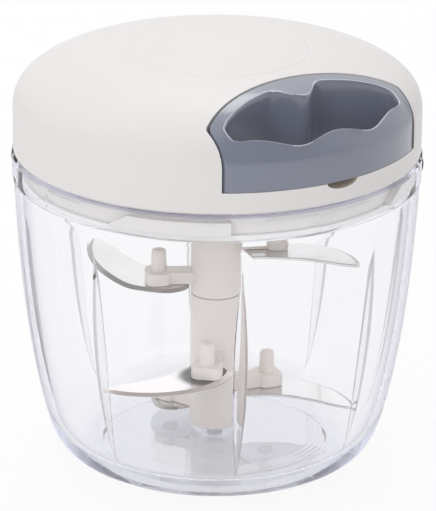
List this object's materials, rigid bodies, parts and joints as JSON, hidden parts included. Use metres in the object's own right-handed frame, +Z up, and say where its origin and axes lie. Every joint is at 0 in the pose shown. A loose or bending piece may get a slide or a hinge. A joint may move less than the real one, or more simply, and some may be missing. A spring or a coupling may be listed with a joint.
{
  "type": "pull-cord food chopper",
  "caption": "Hand food chopper: clear round bowl with inner ribs, domed lid with a pull-out cord handle, and a central shaft that carries staggered curved blades.",
  "frame": {"origin": "centre of the base on the table top", "axes": "+Z up along the shaft, -Y the direction in which the handle pulls out"},
  "size_m": [0.13, 0.13, 0.1356],
  "materials": {
    "clear_plastic": "clear, polished",
    "cream_plastic": "semi-gloss warm white",
    "white_plastic": "satin white",
    "blue_grey_plastic": "satin blue-grey",
    "seal_rubber": "translucent white silicone",
    "blade_steel": "brushed stainless",
    "bright_steel": "turned or stamped steel",
    "acetal": "natural acetal",
    "cord": "braided white cord"
  },
  "bodies": {
    "bowl": {"bowl": "clear_plastic", "pivot_pin": "bright_steel"},
    "seal": {"seal_ring": "seal_rubber"},
    "lid": {"lid_cover": "cream_plastic", "lid_base": "cream_plastic", "lid_screws": "bright_steel", "shaft_bush": "acetal", "spool_washer": "bright_steel", "spool_screw": "bright_steel", "cord_eyelet": "bright_steel"},
    "handle": {"handle": "blue_grey_plastic", "cord_knot": "cord", "cord_run": "cord"},
    "spool": {"spool": "acetal", "spring_cover": "bright_steel", "mainspring": "bright_steel", "cord_winding": "cord"},
    "driver": {"driver": "acetal"},
    "pawl_1": {"pawl_1": "acetal"},
    "pawl_2": {"pawl_2": "acetal"},
    "pawl_3": {"pawl_3": "acetal"},
    "blades": {"lower_hub": "white_plastic", "upper_hub": "white_plastic", "blade_1": "blade_steel", "blade_2": "blade_steel", "blade_3": "blade_steel", "blade_4": "blade_steel", "blade_5": "blade_steel"}
  },
  "joints": [
    {"name": "lid_lift", "type": "slide", "parent": "bowl", "child": "seal", "axis": [0, 0, 1], "range_m": [0, 0.06]},
    {"name": "lid_twist", "type": "hinge", "parent": "seal", "child": "lid", "pos_m": [0, 0, 0.0944], "axis": [0, 0, -1], "range_deg": [0, 24]},
    {"name": "handle_pull", "type": "slide", "parent": "lid", "child": "handle", "axis": [0, -1, 0], "range_m": [0, 0.36], "stiffness_N_per_m": 10, "springref_m": -0.3, "deforming": ["cord_run"]},
    {"name": "spool_spin", "type": "hinge", "parent": "lid", "child": "spool", "pos_m": [0, 0, 0.11], "axis": [0, 0, 1], "range_deg": [0, 1158.49], "deforming": ["mainspring"]},
    {"name": "driver_spin", "type": "hinge", "parent": "lid", "child": "driver", "pos_m": [0, 0, 0.1], "axis": [0, 0, 1], "range_deg": [0, 1158.49]},
    {"name": "blade_seat", "type": "slide", "parent": "driver", "child": "blades", "axis": [0, 0, 1], "range_m": [-0.06, 0]},
    {"name": "pawl_swing_1", "type": "hinge", "parent": "spool", "child": "pawl_1", "pos_m": [0.0073, -0.01264, 0.104], "axis": [0, 0, 1], "range_deg": [0, 14]},
    {"name": "pawl_swing_2", "type": "hinge", "parent": "spool", "child": "pawl_2", "pos_m": [0.0073, 0.01264, 0.104], "axis": [0, 0, 1], "range_deg": [0, 14]},
    {"name": "pawl_swing_3", "type": "hinge", "parent": "spool", "child": "pawl_3", "pos_m": [-0.0146, 0, 0.104], "axis": [0, 0, 1], "range_deg": [0, 14]}
  ],
  "couplings": [
    {"joint": "spool_spin", "follows": "handle_pull", "rad_per_m": 56.117},
    {"joint": "driver_spin", "follows": "handle_pull", "rad_per_m": 56.117},
    {"joint": "blade_seat", "follows": "lid_lift", "ratio": -1},
    {"joint": "pawl_swing_2", "follows": "pawl_swing_1", "ratio": 1},
    {"joint": "pawl_swing_3", "follows": "pawl_swing_1", "ratio": 1}
  ]
}
